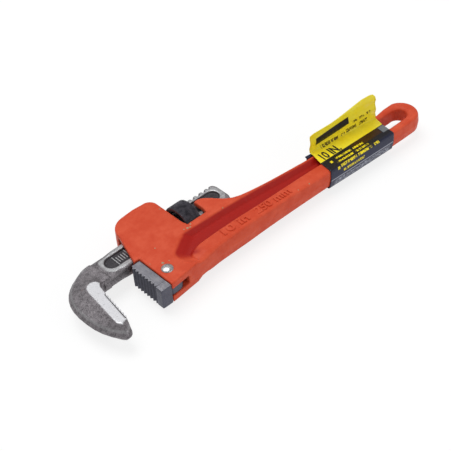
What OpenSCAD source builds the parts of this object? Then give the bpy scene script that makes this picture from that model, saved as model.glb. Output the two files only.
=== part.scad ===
// Pipe wrench with a cast handle, lying on its side.
// Lengths are in millimetres. Inside the modules the heel pin's axis is the
// local origin, X runs towards the hanging loop, Y towards the hook shank.

/* [Handle] */
// Half of the thickness of the head
head_half = 6.7; // [6.4:0.1:7.5]
// Half of the thickness at the hanging loop
loop_half = 5.1; // [4.0:0.1:5.6]
// Distance from the heel pin to the end of the hanging loop
loop_end = 189; // [180:1:200]
// Half of the loop's outer width
loop_half_w = 10.4; // [9.5:0.1:11]
// Half of the hanging slot's width
hang_half_w = 5.3; // [4:0.1:5.6]
// Length of the hanging slot
hang_len = 34; // [20:1:36]
// Depth of the recess in each side of the grip
recess_depth = 2.8; // [1:0.1:3.2]

/* [Hook jaw] */
// Half of the shank's thickness
shank_half = 3.75; // [3.4:0.05:3.9]
// Radius of the thread's crest about the shank's axis
crest_r = 8.35; // [8.2:0.05:8.4]
// Radius of the thread's root
root_r = 7.1; // [7.0:0.05:7.2]
// Distance between two threads, which is the travel for one turn of the nut
pitch = 4; // [3.9:0.05:4.1]
// Height of the shank's axis above the heel pin
shank_y = 25.85; // [25.6:0.05:26]
// Half of the hook's thickness at its teeth
hook_half = 6.1; // [5.5:0.1:6.5]
// Half of the thickness of the hook's outer band
band_half = 2.6; // [2:0.1:3.4]

/* [Adjusting nut] */
// Outer radius of the nut
nut_r = 10.5; // [10:0.1:10.6]
// Width of the nut
nut_len = 9.4; // [9:0.1:9.6]
// Radius of the nut's bore, outside its thread
nut_bore_r = 8.7; // [8.6:0.05:8.9]
// Radius of the inner edge of the nut's thread
nut_thread_r = 7.4; // [7.35:0.05:7.6]

/* [Heel jaw] */
// Width of the heel jaw's toothed block
heel_len = 24.4; // [22:0.1:24.6]
// Half of the heel jaw's thickness
heel_half = 6.25; // [5.5:0.05:6.5]
// Distance between two teeth
tooth_pitch = 2.4; // [2:0.1:2.8]
// Depth of the teeth
tooth_depth = 0.9; // [0.5:0.1:1.2]
// Radius of the heel pin
pin_r = 3.0; // [2.5:0.1:3.2]

/* [Springs] */
// Thickness of the flat spring
leaf_t = 0.7; // [0.5:0.1:0.8]
// Radius of the coil spring, to the middle of its wire
coil_r = 2.4; // [2:0.1:2.5]
// Wire diameter of the coil spring
wire_d = 0.8; // [0.6:0.1:1]

/* [Label sleeve] */
// Thickness of the label's card
card_t = 0.3; // [0.2:0.05:0.5]
// Height of the label's standing flap at its handle end
flap_h = 21.4; // [14:0.1:22]

/* [Hidden] */
$fn = 64;
far = 400;

// The row's frame: the centre of the box's underside
hook_back_x = -48.6;
hook_tip_y = -16.8;
head_top_y = 47.1;
frame_x = (hook_back_x + loop_end) / 2;
frame_y = (hook_tip_y + head_top_y) / 2;

// Handle
slot_half = 4.05;
slot_floor_y = 17.1;
slot_rear_floor_y = 16;
slot_wall_y = 36.9;
window_x0 = 28.6;
window_x1 = 42;
loop_y = -1.3;
hang_y = -0.9;
heel_slot_half = 2.6;
heel_slot_x = 6.6;
heel_slot_y = 13;
heel_face_x = -5.8;

// Nut and thread
nut_x0 = 28.9;
nut_mid = nut_x0 + nut_len / 2;
nut_clear_r = 10.95;
thread_tilt = atan(pitch / (2 * PI * (crest_r + root_r) / 2));
groove_root_w = 1.7;
groove_crest_w = 2.4;
ridge_tip_w = 1.2;
ridge_base_w = 1.9;

// Hook jaw
shank_rear_x = 62;
rail_x0 = -19;
rail_x1 = 58.9;
rail_y = 26.4;
rail_half_w = 4.4;
rail_depth = 0.9;

// Heel jaw
heel_x0 = -12.2;
heel_x1 = heel_face_x - 0.05;
heel_y0 = -9.6;
tongue_x = 5.5;
tongue_half = 2.5;

// Springs
coil_x = 12;
coil_pocket_r = 3.1;
coil_y0 = 35.15;
coil_y1 = 42.4;
leaf_y = 34.4;

// Label sleeve
label_x0 = 111;
label_x1 = 162;

// Points on an arc about [cx, cy], from angle a0 to a1
function arc(cx, cy, r, a0, a1, n = 8) =
    [for (i = [0:n]) let (a = a0 + (a1 - a0) * i / n) [cx + r * cos(a), cy + r * sin(a)]];

// A slot with round ends between x0 and x1
function slot_points(x0, x1, y, r) =
    concat(arc(x0 + r, y, r, 270, 90, 16), arc(x1 - r, y, r, 90, -90, 16));

module place() {
    translate([-frame_x, -frame_y, nut_r]) children();
}

// A flat outline, thick on both sides of the middle plane
module slab(points, half) {
    linear_extrude(2 * half, center = true) polygon(points);
}

// The handle's side view
handle_outline = concat(
    [[-5.4, -9.8], [-5.4, 15.6], [-8.6, 15.9], [-1.9, 36.7]],
    arc(8.6, 35.6, 10.8, 174, 96, 8),
    [[15.8, 47.1], [21, 46.7]],
    arc(22.8, 40.9, 5.8, 80, 0, 6),
    [[window_x0, 20.7]],
    arc(window_x0 + 2, 20.7, 2, 180, 270, 4),
    arc(window_x1 - 1.2, 19.9, 1.2, 270, 360, 4),
    [[window_x1, 27]],
    arc(window_x1 + 1.4, 27, 1.4, 170, 90, 4),
    [[46.6, 28.1], [49.5, 26.3], [54, 20.8], [58.2, 16.9], [63.6, 14.5], [70.5, 13.4],
     [84, 11.5], [98, 10.2], [109, 9.3], [135, 8], [160, 7.6], [167, 7.9],
     [loop_end - 14, loop_y + loop_half_w - 0.2]],
    arc(loop_end - loop_half_w, loop_y, loop_half_w, 75, -90, 18),
    [[160, -11.2], [135, -9.9], [103, -8.2], [88, -7.6], [72, -7.2], [43, -7], [29, -7.1], [14, -8]]);

// The handle's top view, half of its thickness along its length
handle_thickness = [[-10, head_half], [50, head_half], [64, 6.2], [92, 6], [110, 5.6],
                    [160, 5.2], [loop_end + 1, loop_half]];

// The recess in each side of the grip
recess_outline = concat(
    [[10.5, 1.5], [12.6, 7.5], [19, 12.4]],
    arc(23.6, 10.4, 3.2, 130, 80, 3),
    [[46.9, 11.5], [60.7, 10.7], [75, 9.9], [88.5, 8.7], [104, 7.5], [135, 6.2], [148, 5.6],
     [148, -4.4], [135, -1.5], [107.7, 0.3], [80.8, 0.7], [51.2, 1.2], [32, 2.6]],
    arc(20.5, -1.4, 3.4, 80, 180, 5),
    [[15, -2.8]]);

module handle_blank() {
    intersection() {
        slab(handle_outline, head_half);
        rotate([90, 0, 0])
            linear_extrude(far, center = true)
                polygon(concat(handle_thickness,
                               [for (i = [len(handle_thickness) - 1:-1:0])
                                   [handle_thickness[i][0], -handle_thickness[i][1]]]));
    }
}

module handle() {
    color([0.84, 0.33, 0.23]) place()
    difference() {
        handle_blank();
        // Recess in both sides of the grip
        for (side = [-1, 1])
            translate([0, 0, side * (head_half - recess_depth + 5)]) slab(recess_outline, 5);
        // Passage for the shank through the head
        translate([-far / 2, slot_floor_y, -slot_half])
            cube([far / 2 + window_x0 + 3, slot_wall_y - slot_floor_y, 2 * slot_half]);
        // Passage for the shank behind the window
        translate([window_x0, slot_rear_floor_y, -slot_half]) cube([40, 30, 2 * slot_half]);
        // Room for the nut
        translate([window_x0 - 0.1, shank_y, 0]) rotate([0, 90, 0])
            cylinder(h = window_x1 - window_x0, r = nut_clear_r);
        // Slot for the heel jaw's tongue, open at the back and the front
        translate([-far / 2, -30, -heel_slot_half])
            cube([far / 2 + heel_slot_x, 30 + heel_slot_y, 2 * heel_slot_half]);
        // Hole for the heel pin
        cylinder(h = far, r = pin_r, center = true);
        // Pocket for the coil spring
        translate([coil_x, slot_wall_y - 1, 0]) rotate([-90, 0, 0])
            cylinder(h = coil_y1 - slot_wall_y + 1, r = coil_pocket_r);
        // Hanging slot
        slab(slot_points(loop_end - 6.8 - hang_len, loop_end - 6.8, hang_y, hang_half_w), 20);
    }
}

// The hook's side view, outside and at its toothed inner part
hook_outline = concat(
    [[-30.4, 17.6], [-30.4, 33.9], [-33.9, 33.2], [-37.2, 31.7], [-40.2, 29.6], [-42.8, 27.2],
     [-45.2, 24], [-47, 20.2], [-48.1, 16], [hook_back_x, 11], [-48.5, 5], [-47.9, -0.5],
     [-46.8, -5], [-45, -9.6], [-42.8, -13.4]],
    arc(-38.6, hook_tip_y + 3.3, 3.3, 220, 335, 8),
    [[-34.2, -11.4], [-31.3, 10.4], [-30.7, 15.5]]);
hook_inner_outline = [[-30.5, 18], [-30.8, 22], [-34, 26], [-38.6, 22], [-41, 12], [-42.4, -2],
                      [-41, -12], [-38.4, -14.8], [-35.6, -13.4], [-34.2, -11.4], [-31.3, 10.4],
                      [-30.7, 15.5]];

// V grooves along a toothed face, from p0, n of them, leaving ridges between
module tooth_grooves(n, half) {
    for (i = [0:n - 1])
        translate([0, i * tooth_pitch, 0])
            slab([[-tooth_depth, 0], [0.2, -tooth_pitch * 0.42], [0.2, tooth_pitch * 0.42]], half + 1);
}

// One tilted groove of the thread, a ring about the shank's axis
module thread_groove(x, side) {
    reach = crest_r + 0.6;
    reach_w = groove_crest_w + (groove_crest_w - groove_root_w) * 0.6 / (crest_r - root_r);
    translate([x, 0, 0]) rotate([0, side * thread_tilt, 0]) rotate([0, 90, 0]) rotate_extrude()
        polygon([[root_r, -groove_root_w / 2], [reach, -reach_w / 2],
                 [reach, reach_w / 2], [root_r, groove_root_w / 2]]);
}

thread_first = -5;
thread_last = 6;

module shank() {
    translate([0, shank_y, 0]) difference() {
        intersection() {
            translate([-32, 0, 0]) rotate([0, 90, 0]) cylinder(h = 32 + shank_rear_x, r = crest_r);
            slab(concat([[-32, -9], [-32, 9]],
                        [[shank_rear_x - 5, 9]],
                        arc(shank_rear_x - 5, 3.6, 5, 90, 0, 8),
                        arc(shank_rear_x - 5, -3.6, 5, 0, -90, 8),
                        [[shank_rear_x - 5, -9]]), shank_half);
        }
        for (side = [-1, 1]) intersection() {
            union() for (k = [thread_first:thread_last])
                thread_groove(nut_mid + (k + (side < 0 ? 0.5 : 0)) * pitch, side);
            translate([-far / 2, side > 0 ? 3 : -3 - 20, -20]) cube([far, 20, 40]);
        }
    }
}

module hook_jaw() {
    color([0.33, 0.32, 0.34]) place()
    difference() {
        union() {
            shank();
            hull() {
                slab(hook_outline, band_half);
                slab(hook_inner_outline, hook_half);
            }
            // Neck between the hook and the shank
            hull() {
                slab([[-31.2, 17.8], [-30.5, 18], [-30.8, 22], [-31.2, 24]], hook_half);
                slab([[-31.2, 18], [-27, 18.1], [-27, 33.2], [-31.2, 33]], shank_half);
            }
        }
        // Long recess in each side of the shank
        for (side = [-1, 1])
            translate([0, 0, side * (shank_half - rail_depth + 3)])
                slab(slot_points(rail_x0, rail_x1, rail_y, rail_half_w), 3);
        // Teeth
        translate([-34.2, -11.4, 0]) rotate(-atan(2.9 / 21.8))
            translate([0, 2.2, 0]) tooth_grooves(9, hook_half);
    }
}

module heel_jaw() {
    color([0.38, 0.41, 0.46]) place()
    difference() {
        union() {
            slab([[heel_x0, heel_y0], [heel_x1, heel_y0], [heel_x1, heel_y0 + heel_len],
                  [heel_x0 + 0.5, heel_y0 + heel_len], [heel_x0, heel_y0 + heel_len - 0.5]], heel_half);
            slab([[heel_x1 - 1, heel_y0 + 0.5], [1.6, heel_y0 + 0.9], [4.2, -6.2], [tongue_x, -2.5],
                  [tongue_x, 3], [4.4, 7.4], [1.5, 10.8], [heel_x1 - 1, heel_slot_y - 0.3]], tongue_half);
        }
        translate([heel_x0, heel_y0 + 5.2, 0]) tooth_grooves(8, heel_half);
        cylinder(h = far, r = pin_r, center = true);
    }
}

module heel_pin() {
    color([0.8, 0.8, 0.8]) place() {
        translate([0, 0, -head_half]) cylinder(h = 2 * head_half, r = pin_r);
        // Domed head
        translate([0, 0, head_half]) rotate_extrude()
            polygon(concat([[0, 0]], [for (a = [0:10:90]) [(pin_r + 0.25) * cos(a), 1.3 * sin(a)]]));
    }
}

// A closed tube of rings along a path, each ring a list of points
module swept(rings) {
    n = len(rings[0]);
    m = len(rings);
    polyhedron(
        points = [for (ring = rings) for (p = ring) p],
        faces = concat(
            [[for (i = [0:n - 1]) i]],
            [for (j = [0:m - 2]) for (i = [0:n - 1])
                [j * n + i, (j + 1) * n + i, (j + 1) * n + (i + 1) % n, j * n + (i + 1) % n]],
            [[for (i = [n - 1:-1:0]) (m - 1) * n + i]]));
}

// The nut's inner thread: a ridge of trapezoid section on a helix
module nut_thread() {
    steps = 32;
    turns = 1.75;
    outer_r = nut_bore_r + 0.5;
    outer_w = ridge_base_w + (ridge_base_w - ridge_tip_w) * 0.5 / (nut_bore_r - nut_thread_r);
    section = [[nut_thread_r, ridge_tip_w / 2], [outer_r, outer_w / 2],
               [outer_r, -outer_w / 2], [nut_thread_r, -ridge_tip_w / 2]];
    swept([for (j = [0:steps * turns])
        let (a = 360 * (j / steps - turns / 2))
        [for (q = section) [pitch * a / 360 + q[1], q[0] * cos(a), q[0] * sin(a)]]]);
}

module adjusting_nut() {
    chamfer = 0.7;
    color([0.16, 0.17, 0.2]) place() translate([nut_mid, shank_y, 0]) {
        rotate([0, 90, 0]) rotate_extrude() polygon([
            [nut_bore_r, -nut_len / 2], [nut_r - chamfer, -nut_len / 2], [nut_r, -nut_len / 2 + chamfer],
            [nut_r, nut_len / 2 - chamfer], [nut_r - chamfer, nut_len / 2], [nut_bore_r, nut_len / 2]]);
        nut_thread();
    }
}

module coil_spring() {
    turns = 4.5;
    steps = 16;
    sides = 8;
    rise = (coil_y1 - coil_y0 - wire_d - 0.1) / turns;
    color([0.7, 0.7, 0.72]) place() translate([coil_x, coil_y0 + wire_d / 2 + 0.05, 0])
        swept([for (j = [0:steps * turns])
            let (a = 360 * j / steps)
            [for (k = [0:sides - 1])
                let (b = 360 * k / sides, r = coil_r + wire_d / 2 * cos(b))
                [r * cos(a), rise * j / steps + wire_d / 2 * sin(b), r * sin(a)]]]);
}

module flat_spring() {
    color([0.6, 0.62, 0.66]) place() {
        translate([1.5, leaf_y, -3.4]) cube([22, leaf_t, 6.8]);
        // Boss that centres the coil spring
        translate([coil_x, leaf_y + leaf_t - 0.1, 0]) rotate([-90, 0, 0]) cylinder(h = 1.4, r = 1.7);
    }
}

// A rounded rectangle around the grip, at distance gap from it
function grip_ring(gap, y0, y1, half, r) = concat(
    arc(y1 + gap - r, half + gap - r, r, 0, 90, 4), arc(y0 - gap + r, half + gap - r, r, 90, 180, 4),
    arc(y0 - gap + r, -half - gap + r, r, 180, 270, 4), arc(y1 + gap - r, -half - gap + r, r, 270, 360, 4));

module grip_section(x, points) {
    translate([x, 0, 0]) rotate([90, 0, 90]) linear_extrude(0.01) polygon(points);
}

module sleeve_solid(gap, overrun, r) {
    hull() {
        grip_section(label_x0 - overrun, grip_ring(gap, -8.9, 9.2, 5.6, r));
        grip_section(137, grip_ring(gap, -10.1, 8.4, 5.4, r));
    }
    hull() {
        grip_section(137, grip_ring(gap, -10.1, 8.4, 5.4, r));
        grip_section(label_x1 + overrun, grip_ring(gap, -11.6, 7.9, 5.2, r));
    }
}

module label_sleeve() {
    gap = 0.15;
    color([0.95, 0.85, 0.15]) place() {
        difference() {
            sleeve_solid(gap + card_t, 0, 0.75);
            sleeve_solid(gap, 1, 0.45);
        }
        // Card between the grip's edge and the fold
        translate([0, 0, 5.7]) linear_extrude(card_t)
            polygon([[label_x0 + 0.5, 8.5], [label_x0 + 3.2, 11], [130, 9.4], [130, 8]]);
        // Standing flap above the fold, which runs across the grip
        translate([label_x0 + 3.2, 11.1, 0]) rotate([90, 0, -6.4]) linear_extrude(card_t)
            polygon([[0, 5.4], [0, 17.6], [1.5, 18.7], [15, 20.2], [27, 1.8 + flap_h], [38, 4.9 + flap_h],
                     [44, 5.4 + flap_h], [47.5, 4.8 + flap_h], [49.4, 21], [49.8, 5]]);
    }
}

handle();
hook_jaw();
heel_jaw();
heel_pin();
adjusting_nut();
coil_spring();
flat_spring();
label_sleeve();
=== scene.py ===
import math

import bpy
import numpy as np
from mathutils import Matrix, Vector


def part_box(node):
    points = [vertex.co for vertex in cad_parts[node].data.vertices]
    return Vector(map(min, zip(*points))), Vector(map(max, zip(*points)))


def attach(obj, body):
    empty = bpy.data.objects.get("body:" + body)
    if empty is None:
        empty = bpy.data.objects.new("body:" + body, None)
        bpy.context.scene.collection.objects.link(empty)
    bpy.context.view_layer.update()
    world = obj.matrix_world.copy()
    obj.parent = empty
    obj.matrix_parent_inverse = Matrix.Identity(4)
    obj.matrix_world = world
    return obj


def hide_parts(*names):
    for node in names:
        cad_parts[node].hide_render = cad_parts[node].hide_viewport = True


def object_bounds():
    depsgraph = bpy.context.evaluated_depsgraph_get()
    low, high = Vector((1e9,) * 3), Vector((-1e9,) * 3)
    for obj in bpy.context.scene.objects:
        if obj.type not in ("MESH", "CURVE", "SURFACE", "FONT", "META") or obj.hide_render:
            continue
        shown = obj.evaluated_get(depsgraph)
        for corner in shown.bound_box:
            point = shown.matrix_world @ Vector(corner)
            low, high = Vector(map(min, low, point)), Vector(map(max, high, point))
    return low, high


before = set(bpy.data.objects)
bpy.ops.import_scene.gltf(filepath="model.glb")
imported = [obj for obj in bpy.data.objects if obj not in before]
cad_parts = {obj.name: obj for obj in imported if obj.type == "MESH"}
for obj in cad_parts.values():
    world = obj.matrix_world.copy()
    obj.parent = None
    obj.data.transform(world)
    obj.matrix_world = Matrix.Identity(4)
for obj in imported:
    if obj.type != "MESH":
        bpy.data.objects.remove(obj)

CAD_BOUNDS = [list(map(float, corner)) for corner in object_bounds()]

# Every size below is in millimetres, in the wrench's own axes: the heel pin's axis at the handle's
# middle plane is zero, X runs to the hanging loop, Y to the hook's shank and Z up. The stage's sizes
# are in metres.
MM = 0.001
# Width of the cells that the pieces are skinned with
HANDLE_STEP = 0.56
HOOK_STEP = 0.36
HEEL_STEP = 0.26
NUT_STEP = 0.3


def middle(name):
    low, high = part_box(name)
    return [(a + b) / 2 for a, b in zip(low, high)]


PIN = middle("heel_pin")
ZERO = Vector((PIN[0], PIN[1], middle("handle")[2]))


def to_frame(points):
    """Millimetres about the heel pin, as metres in the frame."""
    return np.asarray(points) * MM + np.array(ZERO)


# ---------------------------------------------------------------- outlines and solids

def arc(cx, cy, r, start, end, n=10):
    angles = np.radians(np.linspace(start, end, n + 1))
    return [(cx + r * math.cos(a), cy + r * math.sin(a)) for a in angles]


def rounded(points):
    """The outline with its corners cut twice, so that it runs smooth."""
    p = np.asarray(points, float)
    for _ in range(2):
        following = np.roll(p, -1, 0)
        p = np.stack([0.8 * p + 0.2 * following, 0.2 * p + 0.8 * following], 1).reshape(-1, 2)
    return p


def outline_distance(points, x, y):
    """Distance to a closed outline, negative inside it."""
    points = np.asarray(points, float)
    shape = np.broadcast(x, y).shape
    nearest = np.full(shape, 1e9)
    inside = np.zeros(shape, bool)
    for (ax, ay), (bx, by) in zip(points, np.roll(points, -1, 0)):
        ex, ey = bx - ax, by - ay
        if ex == ey == 0:
            continue
        along = np.clip(((x - ax) * ex + (y - ay) * ey) / (ex * ex + ey * ey), 0, 1)
        nearest = np.minimum(nearest, (x - ax - along * ex) ** 2 + (y - ay - along * ey) ** 2)
        if ey:
            inside ^= ((ay > y) != (by > y)) & (x < ax + (y - ay) * ex / ey)
    return np.where(inside, -1, 1) * np.sqrt(nearest)


def box_distance(x, y, z, low, high, r=0.0):
    """Distance to a box with edges of radius r."""
    q = [np.abs(v - (a + b) / 2) - (b - a) / 2 + r for v, a, b in zip((x, y, z), low, high)]
    outside = np.sqrt(sum(np.maximum(v, 0) ** 2 for v in q))
    return outside + np.minimum(np.maximum(np.maximum(q[0], q[1]), q[2]), 0) - r


def meet(a, b, r):
    """What two solids share, with the edge between them rounded."""
    r = np.maximum(r, 1e-6)
    h = np.maximum(r - np.abs(a - b), 0) / r
    return np.maximum(a, b) + h * h * r / 4


def join(a, b, r):
    """Two solids as one, with a fillet between them."""
    return -meet(-a, -b, r)


def cut(a, b, r):
    """What is left of a solid when another is taken away, with the edge rounded."""
    return meet(a, -b, r)


def ease(t):
    """0 up to 0, 1 from 1 on, and a soft rise between them."""
    t = np.clip(t, 0, 1)
    return t * t * (3 - 2 * t)


def skin(solid, low, high, step):
    """Points and quads of the surface of a solid given as a distance field.

    Each cell that the surface passes through gets one point, and each crossed edge one quad."""
    axes = [np.arange(a - 1.5 * step, b + 2.5 * step, step) for a, b in zip(low, high)]
    grid = np.meshgrid(*axes, indexing="ij", sparse=True)
    field = np.broadcast_to(solid(*grid), [len(a) for a in axes])
    cells = np.array(field.shape) - 1
    strides = np.array([cells[1] * cells[2], cells[2], 1])
    size = int(cells.prod())
    total, count = np.zeros((3, size)), np.zeros(size)
    faces = []
    for axis in range(3):
        u, v = (axis + 1) % 3, (axis + 2) % 3
        first = field[tuple(slice(None, -1) if k == axis else slice(None) for k in range(3))]
        second = field[tuple(slice(1, None) if k == axis else slice(None) for k in range(3))]
        crossing = (first < 0) != (second < 0)
        start = np.argwhere(crossing)
        a, b = first[crossing], second[crossing]
        place = start.astype(float)
        place[:, axis] += a / (a - b)
        around = []
        for du, dv in ((1, 1), (0, 1), (0, 0), (1, 0)):
            cell = start.copy()
            cell[:, u] -= du
            cell[:, v] -= dv
            index = cell @ strides
            around.append(index)
            for k in range(3):
                total[k] += np.bincount(index, place[:, k], size)
            count += np.bincount(index, minlength=size)
        quad = np.stack(around, 1)
        quad[a >= 0] = quad[a >= 0][:, ::-1]
        faces.append(quad)
    used = np.flatnonzero(count)
    renumber = np.zeros(size, int)
    renumber[used] = np.arange(len(used))
    points = (total[:, used] / count[used]).T * step + np.array([a[0] for a in axes])
    # The points are drawn onto the surface itself, which makes its edges crisp
    h = 0.2 * step
    for _ in range(3):
        x, y, z = points.T
        value = solid(x, y, z)
        slope = np.stack([solid(x + h, y, z) - solid(x - h, y, z),
                          solid(x, y + h, z) - solid(x, y - h, z),
                          solid(x, y, z + h) - solid(x, y, z - h)], 1) / (2 * h)
        shift = -(value / np.maximum((slope ** 2).sum(1), 0.25))[:, None] * slope
        reach = np.linalg.norm(shift, axis=1, keepdims=True)
        points = points + shift * np.minimum(1, 0.35 * step / np.maximum(reach, 1e-9))
    return points, renumber[np.concatenate(faces)]


def put_in_scene(name, data):
    """A new object that holds the data, linked into the scene."""
    thing = bpy.data.objects.new(name, data)
    bpy.context.scene.collection.objects.link(thing)
    return thing


def plain_mesh(source):
    """The mesh that an object's modifiers or curve make; the object itself goes."""
    bpy.context.view_layer.update()
    evaluated = source.evaluated_get(bpy.context.evaluated_depsgraph_get())
    made = bpy.data.meshes.new_from_object(evaluated)
    bpy.data.objects.remove(source)
    return made


def mesh_object(name, points, faces):
    """A smooth mesh piece from points in millimetres about the heel pin."""
    mesh = bpy.data.meshes.new(name)
    mesh.from_pydata(to_frame(points).tolist(), [], [list(map(int, f)) for f in faces])
    mesh.validate()
    mesh.update()
    mesh.shade_smooth()
    return put_in_scene(name, mesh)


def stood(piece, place):
    """Bakes a place, in millimetres about the heel pin, into a piece made in millimetres."""
    piece.data.transform(Matrix.Translation(ZERO) @ Matrix.Scale(MM, 4) @ place)
    piece.data.update()
    return piece


def paint_points(piece, name, values):
    """A number for each point of a mesh, which its material reads by name."""
    layer = piece.data.attributes.new(name, "FLOAT", "POINT")
    layer.data.foreach_set("value", np.asarray(values, np.float32))


def paint_all(piece, **values):
    """The same numbers at every point of a mesh."""
    for name, value in values.items():
        paint_points(piece, name, np.full(len(piece.data.vertices), value))


def cast(name, solid, low, high, step, marks=None):
    """A piece skinned from a solid, with the named marks of its material at each point."""
    points, faces = skin(solid, low, high, step)
    piece = mesh_object(name, points, faces)
    for mark, values in (marks(*points.T) if marks else {}).items():
        paint_points(piece, mark, values)
    return piece


# ---------------------------------------------------------------- sizes of the wrench

HEAD_HALF = 6.7
SHANK_Y = 25.85
SHANK_HALF = 3.75
SHANK_END = 62.0
CREST_R = 8.35
ROOT_R = 7.1
PITCH = 4.0
NUT_X = (28.9, 38.3)
NUT_MID = (NUT_X[0] + NUT_X[1]) / 2
NUT_R = 10.5
BORE_R = 8.45
NUT_THREAD = 1.05
TOOTH_PITCH = 2.4
LOOP_END = 189.0
LOOP_Y = -1.3
LOOP_HALF_W = 10.4
# Hanging slot: its two round ends' middles, its half width, and how far it flares at the faces
HANG_X = (LOOP_END - 35.5, LOOP_END - 12.1)
HANG_Y = -0.9
HANG_HALF_W = 4.9
HANG_FLARE = 0.9

WINDOW_X = (28.6, 42.0)
SHANK_PASSAGE = ((-30, 17.1, -4.05), (31, 36.9, 4.05))
SHANK_BEHIND_NUT = ((WINDOW_X[0], 16, -4.05), (70, 50, 4.05))
NUT_ROOM_R = 10.95
HEEL_SLOT = ((-30, -30, -2.6), (6.6, 13, 2.6))
HANDLE_OUTLINE = np.array(
    [(-5.4, -9.8), (-5.4, 15.6), (-8.6, 15.9), (-1.9, 36.7)]
    + arc(8.6, 35.6, 10.8, 174, 96)
    + [(15.8, 47.0), (21, 46.6)]
    + arc(22.8, 40.9, 5.75, 80, 0)
    + arc(WINDOW_X[0] + 1.6, 20.3, 1.6, 180, 270, 5)
    + arc(WINDOW_X[1] - 1.0, 19.7, 1.0, 270, 360, 4)
    + arc(WINDOW_X[1] + 1.4, 27, 1.4, 170, 90, 4)
    + [(45.4, 28.3), (47.2, 27.7), (49.3, 26.3), (51.6, 23.9), (54, 21), (56.6, 18.3), (60, 16.1),
       (64, 14.6), (70.5, 13.3), (77, 12.3), (84, 11.4), (91, 10.7), (98, 10.1), (109, 9.2),
       (122, 8.5), (135, 8), (148, 7.6), (160, 7.6), (167, 7.9), (174, 8.8)]
    + arc(LOOP_END - LOOP_HALF_W, LOOP_Y, LOOP_HALF_W, 76, -90, 26)
    + [(170, -11.7), (160, -11.3), (148, -10.6), (135, -9.9), (119, -9), (103, -8.2), (88, -7.6),
       (72, -7.2), (58, -7.05), (43, -7), (29, -7.1), (14, -8), (4, -8.9)])
THICKNESS_X = (-12, 50, 64, 92, 110, 160, 190)
THICKNESS = (6.7, 6.7, 6.2, 6.0, 5.6, 5.2, 5.1)
# The grip, on each side: where the head ends, the inner edge of the far flange, the near flange that
# rises out of the recess, and how deep the web between them lies
HEAD_FRONTIER = rounded(
    [(17, -30), (13.5, -8), (10, -3), (8, 1.5), (8.2, 4.8), (10.4, 7.4), (14.4, 9.7), (18.2, 12.2),
     (21.6, 13.6), (26, 30), (300, 30), (300, -30)])
FAR_FLANGE = ((20, 27, 46.9, 60.7, 75, 88.5, 104, 135, 148),
              (13.7, 13.8, 13.0, 12.4, 11.3, 9.8, 8.4, 7.0, 6.6))
NEAR_FLANGE = rounded(
    [(15.8, -1.6), (17.6, 0.6), (24, 1.5), (40, 1.6), (60, 1.3), (80.8, 0.8), (107.7, 0.4), (135, -1.2),
     (148, -3.4), (150, -18), (20, -18), (16.4, -7.5), (15.6, -4)])
NEAR_FLANGE_FLAT = ((12, 20, 35, 50, 65, 90, 110, 150),
                    (-4.3, -4.7, -5.0, -5.3, -5.6, -5.9, -6.6, -8.6))
WEB_DEPTH = 3.2
WEB_END = 148


def half_thickness(x):
    return np.interp(x, THICKNESS_X, THICKNESS)


def handle_solid(x, y, z):
    """The casting, alike on both sides."""
    deep = np.abs(z)
    top = half_thickness(x)
    side = outline_distance(HANDLE_OUTLINE, x, y)
    grip = ease((x - 18) / 16)
    loop = ease((x - 150) / 18)
    walls = side + deep * (0.02 + 0.08 * grip + 0.02 * loop)
    # The head falls off in a ramp to the web of the grip, and the near flange rises out of it again
    past = np.maximum(-outline_distance(HEAD_FRONTIER, x, y), 0)
    far_wall = 1.05 * np.maximum(np.interp(x, *FAR_FLANGE) - y, 0)
    web = join(join(0.55 * past, far_wall, 0.5), WEB_DEPTH, 0.7)
    web = np.maximum(join(web, 0.6 * (WEB_END - x), 0.5), 0)
    outward = np.maximum(np.interp(x, *NEAR_FLANGE_FLAT) - y, 0)
    bank = (0.1 + 0.5 * outward) * ease((x - 13) / 8) + 1.4 * (1 - ease((x - 13) / 11))
    bank = bank + np.maximum(outline_distance(NEAR_FLANGE, x, y), 0) * 1.5
    drop = join(web, bank, 0.3) * (1 - loop)
    # 0.85 allows for the slope of the ramps
    solid = meet(walls, (deep - top + np.maximum(drop, 0)) * 0.85, 0.75 + 0.5 * loop)
    run = np.clip(x, *HANG_X)
    hang = np.sqrt((x - run) ** 2 + (y - HANG_Y) ** 2)
    hang = hang - HANG_HALF_W - HANG_FLARE * ease((deep - top + 1.4) / 1.4)
    solid = cut(solid, hang, 0.9)
    for passage in (SHANK_PASSAGE, SHANK_BEHIND_NUT):
        solid = cut(solid, box_distance(x, y, z, *passage), 0.5)
    nut_room = np.maximum(np.sqrt((y - SHANK_Y) ** 2 + z ** 2) - NUT_ROOM_R,
                          np.abs(x - sum(WINDOW_X) / 2) - (WINDOW_X[1] - WINDOW_X[0]) / 2)
    solid = cut(solid, nut_room, 0.4)
    return cut(solid, box_distance(x, y, z, *HEEL_SLOT, 0.4), 0.4)


def handle_marks(x, y, z):
    """How far a point lies down in the recess, from 0 to 1, where the enamel gets painted shade."""
    floor = ease((half_thickness(x) - np.abs(z) - 0.12) / 0.9)
    floor = floor * ease((x - 8) / 3) * ease((WEB_END + 2 - x) / 3)
    start = 1 - ease((x - 12) / 8)
    near = ease((y - np.interp(x, *NEAR_FLANGE_FLAT) - 1 - start) / (2 + 6 * start))
    return {"recess": floor * near * (np.interp(x, *FAR_FLANGE) + 0.4 > y)}


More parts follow.
